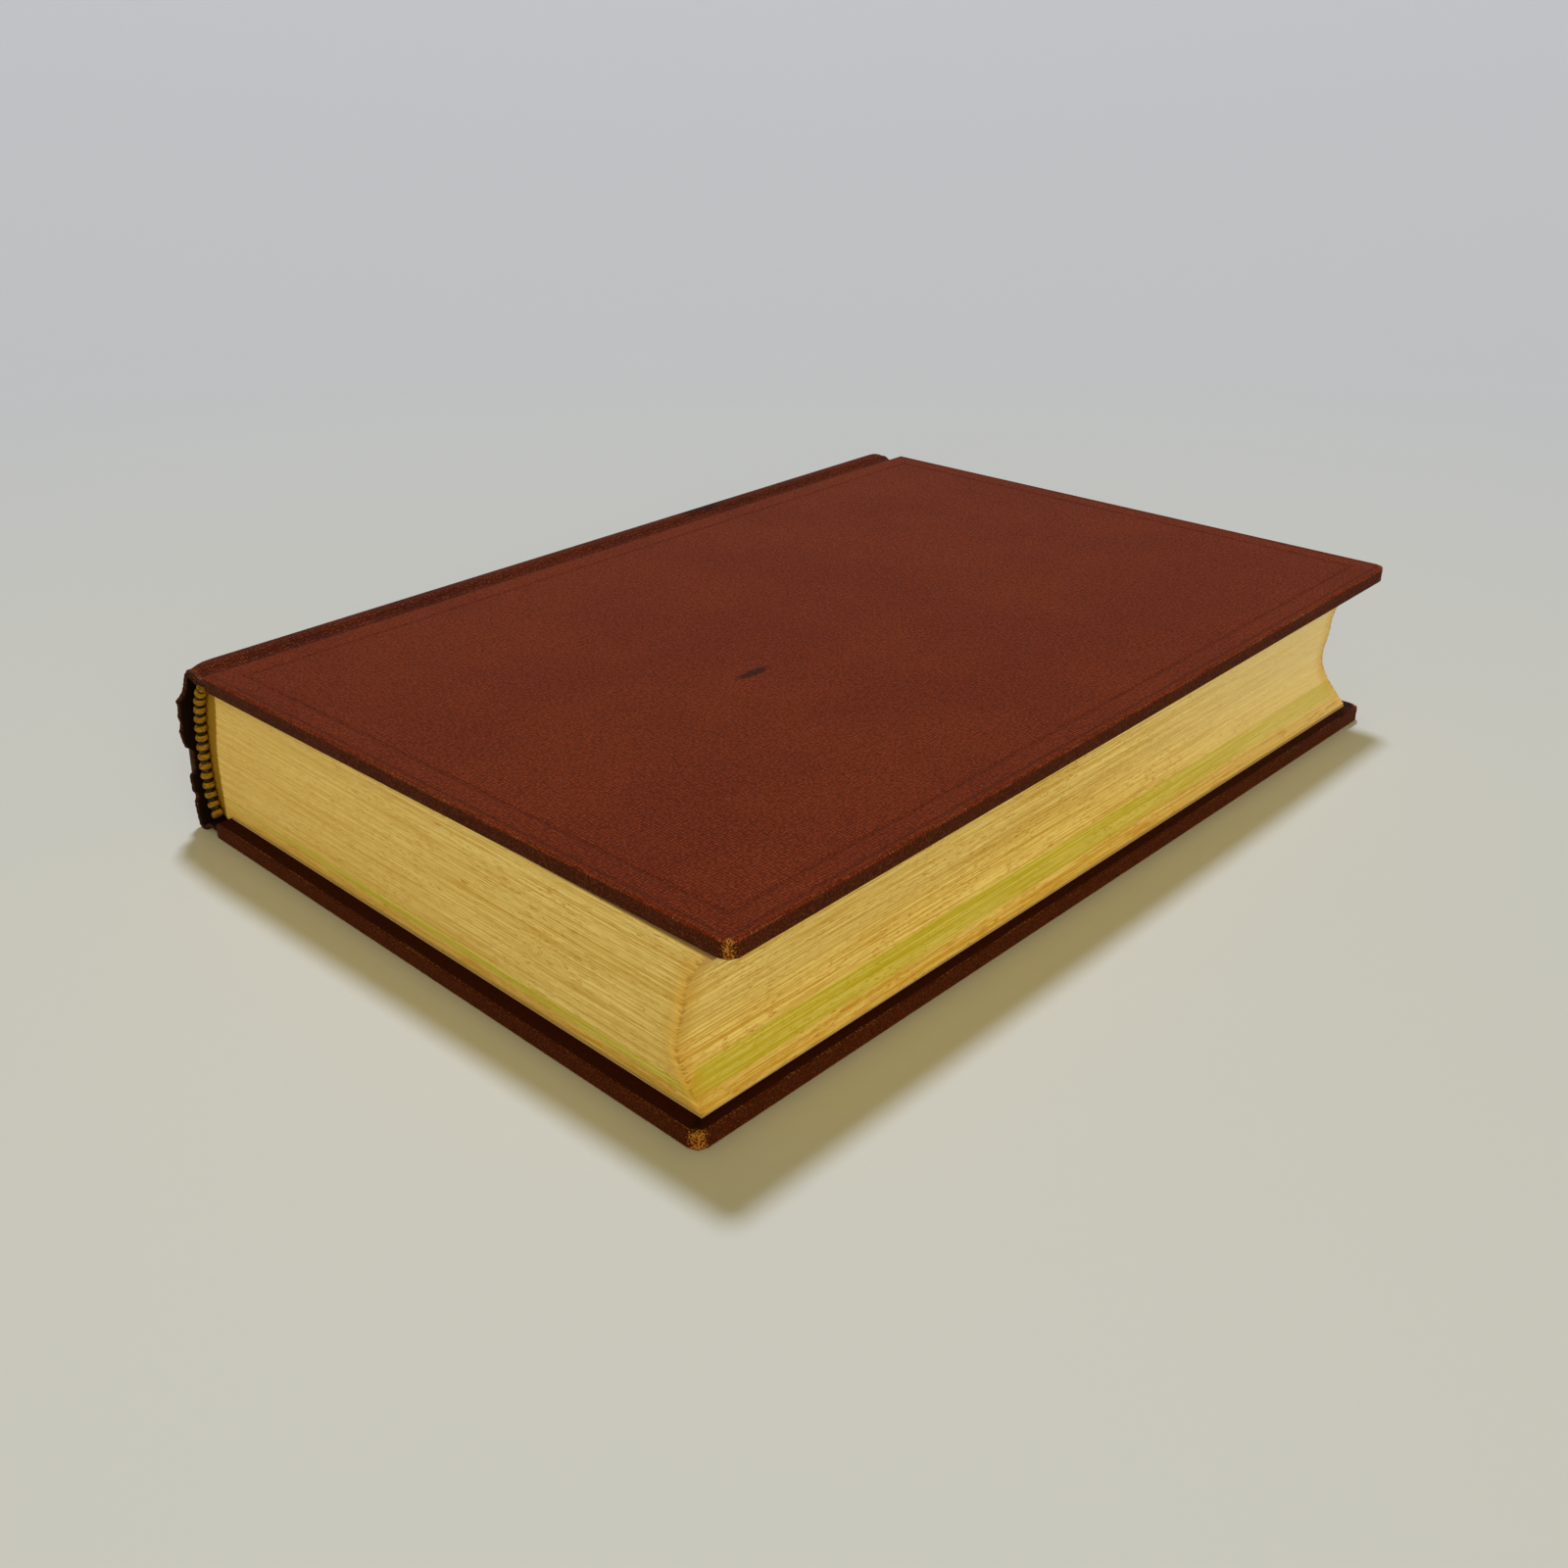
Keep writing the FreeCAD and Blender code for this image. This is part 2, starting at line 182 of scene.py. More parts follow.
def leaf_ring(layer):
    """The outline of one layer of leaves: tail, back, head and fore-edge."""
    z, top = leaf_z[layer], back_z[layer]
    edge = fore_x[layer] + ragged[layer]
    end = BLOCK_END + ragged[layer]
    flat_x = FLARE_X + (edge - FLARE_X) * np.linspace(1, 0, FLAT_STEPS)
    bent_x = FLARE_X + (back_x[layer] - FLARE_X) * INTO_BACK
    bent_z = z + (top - z) * INTO_BACK ** BACK_BEND
    side_x = np.concatenate([flat_x, bent_x])
    side_z = np.concatenate([np.full(FLAT_STEPS, z), bent_z])
    side_y = np.full(len(side_x), end)
    back_y = np.linspace(-1, 1, BACK_STEPS + 2)[1:-1] * end
    fore_y = ALONG_FORE[::-1] * end
    across = [side_x, np.full(BACK_STEPS, side_x[-1]), side_x[::-1], np.full(len(fore_y), edge)]
    along = [-side_y, back_y, side_y, fore_y]
    height = [side_z, np.full(BACK_STEPS, top), side_z[::-1], np.full(len(fore_y), z)]
    return leaned(*(np.concatenate(way) for way in (across, along, height)), BLOCK_SHIFT)


leaf_rings = np.array([leaf_ring(i) for i in range(LAYERS)])
leaf_points = leaf_rings.shape[1]
leaf_faces = grid_faces(LAYERS, leaf_points, closed=True)

# The lowest and the highest leaf are closed by strips from tail to head, one for each step along them.
back_corner = FLAT_STEPS + len(INTO_BACK) - 1
fore_corner = 2 * back_corner + 1 + BACK_STEPS
strips = [(i, i + 1, fore_corner - i - 1, fore_corner - i) for i in range(1, back_corner - 1)]
strips.append((0, 1, fore_corner - 1, *range(fore_corner, leaf_points)))
strips.append(tuple(range(back_corner - 1, fore_corner - back_corner + 2)))
for strip in strips:
    leaf_faces.append(tuple(strip[::-1]))
    leaf_faces.append(tuple((LAYERS - 1) * leaf_points + i for i in strip))
leaves = make_piece("leaves", leaf_rings, leaf_faces, "text_block", ["page_block"])

# The way from the nearest fore arris, in millimetres, along tail, back, head and fore-edge.
FLAT_WAY = 124
BENT_WAY = 5
side_way = np.concatenate([np.linspace(0, FLAT_WAY, FLAT_STEPS), FLAT_WAY + BENT_WAY * INTO_BACK])
back_way = np.full(BACK_STEPS, FLAT_WAY + BENT_WAY)
fore_way = BLOCK_END * (1 - np.abs(ALONG_FORE))
ring_way = np.concatenate([side_way, back_way, side_way[::-1], fore_way])
store(leaves, arris=np.tile(ring_way, LAYERS))


def add(tree, kind, *inputs, **settings):
    """Adds a node, sets its properties, and fills its inputs in order with values or links."""
    node = tree.nodes.new("ShaderNode" + kind)
    named = settings.pop("named", {})
    for key, value in settings.items():
        setattr(node, key, value)
    for socket, value in list(enumerate(inputs)) + list(named.items()):
        if value is None:
            continue
        if isinstance(value, bpy.types.NodeSocket):
            tree.links.new(value, node.inputs[socket])
        else:
            node.inputs[socket].default_value = value
    return node


def sum_of(tree, operation, *values):
    """The result of one step of reckoning with these values."""
    return add(tree, "Math", *values, operation=operation).outputs[0]


def product_of(tree, first, *others):
    """All these values multiplied with each other."""
    for other in others:
        first = sum_of(tree, "MULTIPLY", first, other)
    return first


def blend_colors(tree, share, first, second):
    """The first colour, with this share of the second one over it."""
    colors = {0: share, 6: first, 7: second}
    return add(tree, "Mix", data_type="RGBA", named=colors).outputs[2]


def band_of(tree, value, low, high, to_low=0.0, to_high=1.0):
    """Turns a value between low and high smoothly into to_low to to_high."""
    ends = (low, high, to_low, to_high)
    return add(tree, "MapRange", value, *ends, interpolation_type="SMOOTHSTEP").outputs[0]


def rgb(red, green, blue):
    """A colour as the eye names it, 0 to 255, in the renderer's own linear values."""
    parts = [c / 255 for c in (red, green, blue)]
    return [c / 12.92 if c <= 0.04045 else ((c + 0.055) / 1.055) ** 2.4 for c in parts] + [1.0]


def new_material(name):
    """A material with its shader, its own node tree and the object's coordinates in millimetres."""
    material = bpy.data.materials.new(name)
    material.use_nodes = True
    tree = material.node_tree
    shader = tree.nodes["Principled BSDF"]
    place = add(tree, "TexCoord").outputs["Object"]
    scaled = add(tree, "VectorMath", place, operation="SCALE")
    scaled.inputs["Scale"].default_value = 1000
    return material, tree, shader, scaled.outputs[0]


def stretched(tree, place, scale):
    """The place scaled by its own share in each direction."""
    return add(tree, "Mapping", place, None, None, scale).outputs[0]


def noise(tree, place, scale, detail=2.0, rough=0.5):
    """Soft random values from 0 to 1, with this many swings to a millimetre."""
    return add(tree, "TexNoise", place, None, scale, detail, rough).outputs[0]


def streaked(tree, place, along, up, detail=3, rough=0.6):
    """Random values drawn out along the leaves, with this many swings to a millimetre each way."""
    return noise(tree, stretched(tree, place, (along, along, up)), 1.0, detail, rough)


def finish_surface(tree, shader, color, rough, height, depth):
    """Sends colour, roughness and a bump of this depth in millimetres to the shader."""
    bump = add(tree, "Bump", 1.0, depth * 0.001, named={"Height": height})
    tree.links.new(color, shader.inputs["Base Color"])
    tree.links.new(rough, shader.inputs["Roughness"])
    tree.links.new(bump.outputs[0], shader.inputs["Normal"])


def leaf_grain_group():
    """Fine lines of leaf edges, with dirt between the leaves and brown spots."""
    tree = bpy.data.node_groups.new("leaf_edge_grain", "ShaderNodeTree")
    tree.interface.new_socket("Place", in_out="INPUT", socket_type="NodeSocketVector")
    tree.interface.new_socket("Paper", in_out="INPUT", socket_type="NodeSocketColor")
    tree.interface.new_socket("Browned", in_out="INPUT", socket_type="NodeSocketColor")
    tree.interface.new_socket("Foxing", in_out="INPUT", socket_type="NodeSocketFloat")
    tree.interface.new_socket("Color", in_out="OUTPUT", socket_type="NodeSocketColor")
    tree.interface.new_socket("Lines", in_out="OUTPUT", socket_type="NodeSocketFloat")
    given = tree.nodes.new("NodeGroupInput").outputs
    result = tree.nodes.new("NodeGroupOutput").inputs
    place = given["Place"]
    fine = streaked(tree, place, 0.04, 6.5, 3, 0.7)
    broad = streaked(tree, place, 0.012, 0.9)
    lines = sum_of(tree, "ADD", product_of(tree, fine, 0.8), product_of(tree, broad, 0.2))
    dirt = band_of(tree, streaked(tree, place, 0.35, 2.2), 0.5, 0.72, 0, 0.45)
    dashes = band_of(tree, streaked(tree, place, 0.6, 4.6), 0.55, 0.67)
    clouds = band_of(tree, streaked(tree, place, 0.09, 0.25, 2, 0.5), 0.3, 0.6)
    spots = product_of(tree, dashes, clouds, given["Foxing"])
    color = blend_colors(tree, band_of(tree, lines, 0.4, 0.58), given["Browned"], given["Paper"])
    color = blend_colors(tree, dirt, color, rgb(186, 140, 50))
    color = blend_colors(tree, spots, color, rgb(188, 128, 24))
    tree.links.new(color, result["Color"])
    tree.links.new(lines, result["Lines"])
    return tree


leaf_grain = leaf_grain_group()


def place_group(tree, group, **values):
    """Puts a node group into a material with the material's own values."""
    return add(tree, "Group", node_tree=group, named=values).outputs


def measured(tree, name):
    """A number stored on a piece's points, such as the way to an arris in millimetres."""
    return add(tree, "Attribute", attribute_name=name).outputs["Fac"]


def leaf_edge_material():
    """Trimmed leaf edges: cream lines, browned where hands and damp have reached them, with a dark ochre
    band by the folds.
    """
    material, tree, shader, place = new_material("leaf_edges")
    paper, browned = rgb(245, 224, 150), rgb(206, 165, 72)
    grain = place_group(tree, leaf_grain, Place=place, Paper=paper, Browned=browned, Foxing=0.9)
    lines = grain["Lines"]
    x, y, z = add(tree, "SeparateXYZ", place).outputs
    streaks = streaked(tree, place, 0.03, 5, 3, 0.65)

    # Towards the spine the lines blur, and towards the head the paper is paler.
    color = blend_colors(tree, band_of(tree, x, -70, 62, 0.55, 0), grain["Color"], rgb(226, 190, 112))
    color = blend_colors(tree, band_of(tree, y, -10, 95, 0, 0.75), color, rgb(232, 214, 172))

    # The lowest leaves are ochre.
    low = product_of(tree, band_of(tree, z, 4.2, 6.4, 1, 0), band_of(tree, streaks, 0.35, 0.65, 0.1, 0.6))
    color = blend_colors(tree, low, color, rgb(216, 166, 46))

    # A green stain lies over the leaves above them, narrow at the tail and wider on the fore-edge.
    off_tail = band_of(tree, y, -94, -91.5)
    widening = product_of(tree, off_tail, band_of(tree, y, -95, 95, 1.5, 1.1))
    top = sum_of(tree, "ADD", sum_of(tree, "ADD", 6.3, widening), product_of(tree, streaks, 0.7))
    fading = band_of(tree, z, top, sum_of(tree, "ADD", top, 0.6), 1, 0)
    between_lines = band_of(tree, lines, 0.34, 0.6, 0.95, 0.5)
    off_spine = band_of(tree, x, -66, -20, 0.25, 0.9)
    off_head = band_of(tree, y, -20, 90, 1, 0.65)
    rising = band_of(tree, z, 5.2, 6.0)
    green = product_of(tree, rising, fading, between_lines, off_spine, off_head)
    color = blend_colors(tree, green, color, rgb(188, 184, 24))

    # Rusty smears low down.
    smears = band_of(tree, streaked(tree, place, 0.14, 1.5, 3, 0.65), 0.5, 0.62, 0, 0.5)
    rusty = product_of(tree, band_of(tree, z, 4.9, 6.2, 1, 0), smears)
    color = blend_colors(tree, rusty, color, rgb(200, 142, 36))

    # The fore arrises are stained, with short brown dashes along them.
    arris = measured(tree, "arris")
    near_arris = band_of(tree, arris, 0.2, 4.5, 0.65, 0)
    stained = product_of(tree, near_arris, band_of(tree, streaks, 0.3, 0.6, 0.4, 1))
    color = blend_colors(tree, stained, color, rgb(206, 158, 56))
    jags = sum_of(tree, "SUBTRACT", streaked(tree, place, 0.5, 4, 2), 0.5)
    torn = sum_of(tree, "ADD", arris, product_of(tree, jags, 6))
    dashes = product_of(tree, band_of(tree, torn, -0.4, 0.5, 0.55, 0), band_of(tree, arris, 1, 3, 1, 0))
    color = blend_colors(tree, dashes, color, rgb(140, 88, 22))

    # A dark ochre band lies next to the folds, reaching further in higher up.
    fold_band_edge = band_of(tree, z, 13, 29, -66.3, -63.6)
    glued = band_of(tree, sum_of(tree, "SUBTRACT", x, fold_band_edge), -0.25, 0.35, 1, 0)
    color = blend_colors(tree, glued, color, rgb(148, 112, 14))

    rough = band_of(tree, lines, 0.3, 0.7, 0.92, 0.7)
    finish_surface(tree, shader, color, rough, lines, 0.12)
    shader.inputs["Specular IOR Level"].default_value = 0.25
    return material


leaves.data.materials.append(leaf_edge_material())


# Endpapers: plain cream leaves of stiffer paper, one free at each side of the block and one pasted
# to each board. In the joint the free leaf and the pasted one are a single folded sheet.


def endpaper_material():
    """Smooth wove paper, browned towards its edges, with small brown spots."""
    material, tree, shader, place = new_material("endpaper")
    fibre = noise(tree, place, 2.2, 4, 0.6)
    cloud = noise(tree, place, 0.05, 3, 0.55)
    x, y = add(tree, "SeparateXYZ", place).outputs[:2]
    out_x = sum_of(tree, "ABSOLUTE", x)
    out_y = sum_of(tree, "SUBTRACT", sum_of(tree, "ABSOLUTE", y), HALF_HEIGHT - HALF_WIDTH)
    rim = sum_of(tree, "ADD", sum_of(tree, "MAXIMUM", out_x, out_y), product_of(tree, cloud, 9))
    browning = band_of(tree, rim, 50, 68, 0, 0.75)
    color = blend_colors(tree, browning, rgb(222, 202, 156), rgb(186, 146, 84))
    color = blend_colors(tree, band_of(tree, cloud, 0.4, 0.7, 0, 0.16), color, rgb(198, 164, 106))
    spots = band_of(tree, noise(tree, place, 0.6, 2, 0.6), 0.68, 0.74, 0, 0.7)
    color = blend_colors(tree, spots, color, rgb(150, 98, 44))
    finish_surface(tree, shader, color, band_of(tree, fibre, 0.3, 0.7, 0.9, 0.75), fibre, 0.02)
    shader.inputs["Specular IOR Level"].default_value = 0.3
    return material


def clothe(material, *nodes):
    """Gives these solids of the frame a material."""
    for node in nodes:
        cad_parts[node].data.materials.clear()
        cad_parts[node].data.materials.append(material)


endpaper = endpaper_material()
clothe(endpaper, "front_free_endpaper", "back_free_endpaper", "front_pastedown", "back_pastedown")


HINGE_PAPER = (
    (-64.75, 29.55), (-64.95, 30.1), (-65.3, 31.1),
    (-64.7, 31.2), (-64.6, 30.4), (-64.42, 29.8),
)
PAPER_HALF = 0.06
RISE = 0.3
FOLD_STEPS = 40
FOLD_ROWS = 25
FOLD_INSET = 0.4


def hinge_paper(name, front):
    """The fold of the endpaper in the joint, from the free leaf's edge round to the pasted leaf's."""
    path = smooth_curve(HINGE_PAPER, np.linspace(0, 1, FOLD_STEPS))
    share = np.interp(np.arange(FOLD_STEPS), (0, FOLD_STEPS - 1), (path[0, 1] / BOOK_THICK, 1))
    share = share if front else 1 - share
    end = BLOCK_END - FOLD_INSET
    rows = []
    for y in np.linspace(-end, end, FOLD_ROWS):
        sides = []
        for side in (PAPER_HALF, -PAPER_HALF):
            x = path[:, 0] - RISE * side + share * (LEAN_ACROSS - y * math.sin(LEAN_TURN))
            z = path[:, 1] + side
            sides.append(np.stack([x, y + share * BLOCK_SHIFT, z if front else BOOK_THICK - z], -1))
        rows.append(np.concatenate([sides[0], sides[1][::-1]]))
    around = len(rows[0])
    faces = grid_faces(len(rows), around, closed=True)
    last = (len(rows) - 1) * around
    for c in range(FOLD_STEPS - 1):
        quad = (c, c + 1, around - 2 - c, around - 1 - c)
        faces += [quad, tuple(last + i for i in quad[::-1])]
    if front:
        faces = [face[::-1] for face in faces]
    paper = make_piece(name, rows, faces, None)
    paper.data.materials.append(endpaper)
    return paper


front_hinge = hinge_paper("front_hinge_paper", True)
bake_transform(front_hinge)
back_hinge = hinge_paper("back_hinge_paper", False)
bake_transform(back_hinge)


# Boards, gauze, lining and inlay: grey boards, open cloth and a paper strip glued over the folds, and
# a card strip inside the spine cloth. Aged glue has turned the strips ochre. The cloths and endpapers
# cover the boards, and the strips are seen only in the hollow behind the spine.


def glued_material(name, color, dark, weave):
    """Dull card, paper or cloth with glue soaked in, and crossing threads on its face."""
    material, tree, shader, place = new_material(name)
    y, z = add(tree, "SeparateXYZ", place).outputs[1:]
    threads = product_of(tree, *(sum_of(tree, "SINE", product_of(tree, way, weave)) for way in (y, z)))
    glue = noise(tree, place, 0.35, 4, 0.6)
    tone = blend_colors(tree, band_of(tree, glue, 0.35, 0.65), color, dark)
    tone = blend_colors(tree, band_of(tree, threads, -0.2, 0.6, 0.35, 0), tone, rgb(60, 38, 14))
    finish_surface(tree, shader, tone, band_of(tree, glue, 0.3, 0.7, 0.45, 0.85), threads, 0.08)
    return material


gauze = glued_material("glued_gauze", rgb(176, 140, 66), rgb(120, 84, 30), 9.0)
lining = glued_material("glued_lining", rgb(150, 112, 54), rgb(98, 66, 28), 0.6)
board = glued_material("grey_board", rgb(128, 112, 90), rgb(96, 82, 64), 2.2)
inlay = glued_material("browned_card", rgb(66, 44, 26), rgb(40, 24, 12), 1.4)
clothe(gauze, "spine_gauze", "front_gauze_flange", "back_gauze_flange")
clothe(lining, "spine_lining")
clothe(board, "front_board", "back_board")
clothe(inlay, "spine_inlay")


# Worked bands: a cord core at each end of the block's back, wound with yellow silk. Between the
# yellow turns the bead is sunk, with near-black painted shade in the gaps. The turns have dulled and
# loosened with age.

BEAD_RADIUS = 1.15
BEAD_OFFSET = 0.3 * BEAD_RADIUS
BEAD_START = 0.09
BEAD_STEPS = 420
BEAD_SIDES = 24
TURN_PITCH = 1.95
THREAD_PITCH = 0.28
THREAD_DEPTH = 0.035
YELLOW_SHARE = 0.54
TURN_SWELL = 0.2
DARK_SINK = -0.6


def silk_material(name, light, dark):
    """Dull silk strands with dust lying on them."""
    material, tree, shader, place = new_material(name)
    strand = noise(tree, stretched(tree, place, (1.2, 1.2, 7)), 1.0, 3, 0.6)
    tone = blend_colors(tree, band_of(tree, strand, 0.35, 0.65), dark, light)
    dust = noise(tree, place, 0.8, 3, 0.6)
    tone = blend_colors(tree, band_of(tree, dust, 0.5, 0.75, 0, 0.4), tone, rgb(120, 98, 58))
    finish_surface(tree, shader, tone, band_of(tree, dust, 0.3, 0.7, 0.45, 0.75), strand, 0.05)
    shader.inputs["Specular IOR Level"].default_value = 0.1
    return material


silks = [
    silk_material("yellow_silk", rgb(158, 118, 20), rgb(98, 70, 8)),
    # The second colour is near-black painted shade for the sunk gaps between the yellow turns.
    silk_material("gap_shade_silk", rgb(40, 28, 8), rgb(18, 11, 4)),
]


def worked_band(name, towards, stands_for):
    """The wound bead along the folds' end, thicker at each yellow turn than in the gaps, which carry
    painted shade.
    """
    core = [(x + BEAD_OFFSET, z) for x, z in back_outline()]
    path = smooth_curve(core, np.linspace(BEAD_START, 1 - BEAD_START, BEAD_STEPS))
    step = np.gradient(path, axis=0)
    step /= np.linalg.norm(step, axis=1)[:, None]
    run = np.concatenate([[0], np.cumsum(np.linalg.norm(np.diff(path, axis=0), axis=1))])
    turn = (run / TURN_PITCH) % 1
    yellow = turn < YELLOW_SHARE
    crown = np.where(yellow, np.sin(np.clip(turn / YELLOW_SHARE, 0, 1) * math.pi) ** 0.5, DARK_SINK)
    thread = 1 - THREAD_DEPTH * np.cos(2 * math.pi * run / THREAD_PITCH)
    radius = BEAD_RADIUS * (1 - TURN_SWELL + TURN_SWELL * crown) * thread
    angle = np.linspace(0, 2 * math.pi, BEAD_SIDES + 1)[:-1]
    out = np.cos(angle)[None, :, None] * np.stack([-step[:, 1], step[:, 0]], -1)[:, None]
    section = path[:, None] + radius[:, None, None] * out
    y = towards * (BLOCK_END + BEAD_RADIUS) + radius[:, None] * np.sin(angle)[None, :]
    points = leaned(section[..., 0], y, section[..., 1], BLOCK_SHIFT)
    faces = grid_faces(BEAD_STEPS, BEAD_SIDES, closed=True)
    last = (BEAD_STEPS - 1) * BEAD_SIDES
    faces += [tuple(range(BEAD_SIDES))[::-1], tuple(range(last, last + BEAD_SIDES))]
    band = make_piece(name, points, faces, "text_block", [stands_for])
    for silk in silks:
        band.data.materials.append(silk)
    for face in band.data.polygons:
        row = min(face.index // BEAD_SIDES, BEAD_STEPS - 1)
        face.material_index = 0 if yellow[row] else 1


worked_band("tail_worked_band", -1, "tail_band")
worked_band("head_worked_band", 1, "head_band")


# Cover cloths: grained red-brown book cloth glued over each board, turned in on its free sides and
# mitred at the fore corners. A blind line is pressed in near the edges. The cloth is rubbed along its
# arrises and worn to the tan weave at the corners.

WEAVE_TURN = 5.6
TURN_IN = 15.0
EDGE_DEPTH = 3.2
RULE_INSET = 5.0
RULE_WIDTH = 0.7
RULE_DEPTH = 0.14
RULE_SIDES = 1.6
HOLLOW_INSET, HOLLOW_WIDTH, HOLLOW_DEPTH = 1.25, 0.4, 0.05
CORNER_RADIUS = 2.0
SEAM_DEPTH = 0.12
LEAN_ALONG = 2.7
JOINT_X = -HALF_WIDTH
CLOTH_THICK = 0.35


def cloth_grain_group():
    """The embossed grain: a slanting weave that wavers, with small pebbles, clouds and flecks."""
    tree = bpy.data.node_groups.new("cloth_grain", "ShaderNodeTree")
    tree.interface.new_socket("Place", in_out="INPUT", socket_type="NodeSocketVector")
    for name in ("Grain", "Cloud", "Fleck"):
        tree.interface.new_socket(name, in_out="OUTPUT", socket_type="NodeSocketFloat")
    place = tree.nodes.new("NodeGroupInput").outputs["Place"]
    result = tree.nodes.new("NodeGroupOutput").inputs
    drift = noise(tree, place, 0.5, 2)
    x, y = add(tree, "SeparateXYZ", place).outputs[:2]
    across = sum_of(tree, "ADD", x, product_of(tree, drift, 1.3))
    along = sum_of(tree, "ADD", y, product_of(tree, drift, 1.1))
    slants = [sum_of(tree, operation, across, along) for operation in ("ADD", "SUBTRACT")]
    waves = [sum_of(tree, "SINE", product_of(tree, slant, WEAVE_TURN)) for slant in slants]
    pebble = add(tree, "TexVoronoi", place, None, 2.2, feature="SMOOTH_F1").outputs[0]
    raised = sum_of(tree, "SUBTRACT", 0.8, pebble)
    grain = sum_of(tree, "ADD", product_of(tree, *waves, 0.3), raised)
    tree.links.new(grain, result["Grain"])
    tree.links.new(noise(tree, place, 0.035, 4, 0.6), result["Cloud"])
    tree.links.new(noise(tree, place, 1.4, 3, 0.65), result["Fleck"])
    return tree


cloth_grain = cloth_grain_group()


def patch(tree, place, x, y, wide, long):
    """A mask of one ragged mark at the top of the book, lying along the spine's direction."""
    moved = add(tree, "VectorMath", place, (-x, -y, -BOOK_THICK), operation="ADD").outputs[0]
    shape = stretched(tree, moved, (1 / wide, 1 / long, 0.12))
    ragged = product_of(tree, noise(tree, place, 0.9, 3, 0.6), 0.8)
    size = add(tree, "VectorMath", shape, operation="LENGTH").outputs["Value"]
    return band_of(tree, sum_of(tree, "ADD", size, ragged), 0.9, 1.4, 1, 0)


def book_cloth_material(name, deep, light, edge_shade, inside, marks):
    """Red-brown book cloth: grained, with painted shade on the board edges and turn-ins, rubbed on the
    arrises and corners.
    """
    material, tree, shader, place = new_material(name)
    grain = place_group(tree, cloth_grain, Place=place)
    rim, corner, pressed, seam = (measured(tree, mark) for mark in ("rim", "corner", "pressed", "seam"))
    threads = noise(tree, place, 3.2, 2, 0.6)

    # The dyed face, dark between the raised pebbles and paler on them.
    color = blend_colors(tree, band_of(tree, grain["Cloud"], 0.38, 0.62), deep, light)
    color = blend_colors(tree, band_of(tree, grain["Grain"], 0.15, 0.5, 0.6, 0), color, rgb(56, 18, 8))
    color = blend_colors(tree, band_of(tree, grain["Grain"], 0.5, 0.75, 0, 0.45), color, rgb(140, 70, 44))
    color = blend_colors(tree, band_of(tree, grain["Fleck"], 0.56, 0.8, 0, 0.25), color, rgb(136, 72, 48))

    # Darker in the blind line and in the crease inside the arrises, painted shade on the board edges and
    # turn-ins, and dark in the mitres.
    color = blend_colors(tree, product_of(tree, pressed, 0.3), color, rgb(56, 20, 8))
    crease = product_of(tree, band_of(tree, rim, 0.7, 1.15), band_of(tree, rim, 1.3, 1.8, 1, 0), 0.45)
    color = blend_colors(tree, crease, color, rgb(56, 22, 8))
    # Painted shade: the board edges are painted darker than the face.
    edge = band_of(tree, rim, -0.7, 0.15, 1, 0)
    color = blend_colors(tree, product_of(tree, edge, 0.85), color, edge_shade)
    # Painted shade: past the lower arris, on the turn-ins and folds, the cloth is painted near-black.
    inner_shade = band_of(tree, rim, -3.6, -2.8, 1, 0)
    color = blend_colors(tree, product_of(tree, inner_shade, 0.9), color, inside)
    color = blend_colors(tree, product_of(tree, seam, 0.85), color, rgb(20, 6, 3))

    # Single threads show on the board edges, and the two arrises are rubbed along stretches.
    on_edge = sum_of(tree, "SUBTRACT", edge, inner_shade)
    shine = product_of(tree, on_edge, band_of(tree, threads, 0.5, 0.64, 0, 0.45))
    color = blend_colors(tree, shine, color, rgb(116, 64, 32))
    stretches = band_of(tree, noise(tree, place, 0.12, 2, 0.5), 0.4, 0.66, 0.06, 0.5)
    rub_width = product_of(tree, stretches, grain["Cloud"])
    from_arrises = [sum_of(tree, "ABSOLUTE", sum_of(tree, "ADD", rim, way)) for way in (0.1, EDGE_DEPTH)]
    rubbed = sum_of(tree, "LESS_THAN", sum_of(tree, "MINIMUM", *from_arrises), rub_width)
    worn = product_of(tree, rubbed, band_of(tree, threads, 0.52, 0.66, 0.05, 0.65))
    color = blend_colors(tree, worn, color, rgb(146, 98, 60))

    # At the fore corners the dyed face is gone and the tan weave lies bare.
    frayed = product_of(tree, sum_of(tree, "SUBTRACT", threads, 0.5), 0.9)
    bare = band_of(tree, sum_of(tree, "ADD", corner, frayed), 0.5, 0.75)
    weft = blend_colors(tree, band_of(tree, threads, 0.42, 0.56), rgb(76, 38, 14), rgb(162, 108, 46))
    color = blend_colors(tree, bare, color, weft)

    for x, y, wide, long, depth in marks:
        stain = product_of(tree, patch(tree, place, x, y, wide, long), depth)
        color = blend_colors(tree, stain, color, rgb(34, 14, 8))
    rough = band_of(tree, grain["Fleck"], 0.3, 0.7, 0.6, 0.78)
    relief = product_of(tree, grain["Grain"], band_of(tree, rim, -0.6, 0.4, 0.6, 1))
    finish_surface(tree, shader, color, rough, relief, 0.13)
    shader.inputs["Specular IOR Level"].default_value = 0.045
    return material


# Its edge and inside colours are painted shade for the board edges and turn-ins.
cover_cloth = book_cloth_material(
    "cover_cloth", deep=rgb(104, 37, 10), light=rgb(111, 42, 13), edge_shade=rgb(52, 20, 8),
    inside=rgb(44, 12, 5), marks=[(7.4, -28.8, 1.5, 5.0, 0.8)],
)


def thickened(piece, thick):
    """Gives a sheet its real thickness, inwards from the side that shows."""
    solid = piece.modifiers.new("thickness", "SOLIDIFY")
    solid.thickness = thick * 0.001
    solid.offset = -1
    bpy.context.view_layer.update()
    evaluated = piece.evaluated_get(bpy.context.evaluated_depsgraph_get())
    mesh = bpy.data.meshes.new_from_object(evaluated)
    piece.modifiers.clear()
    piece.data = mesh


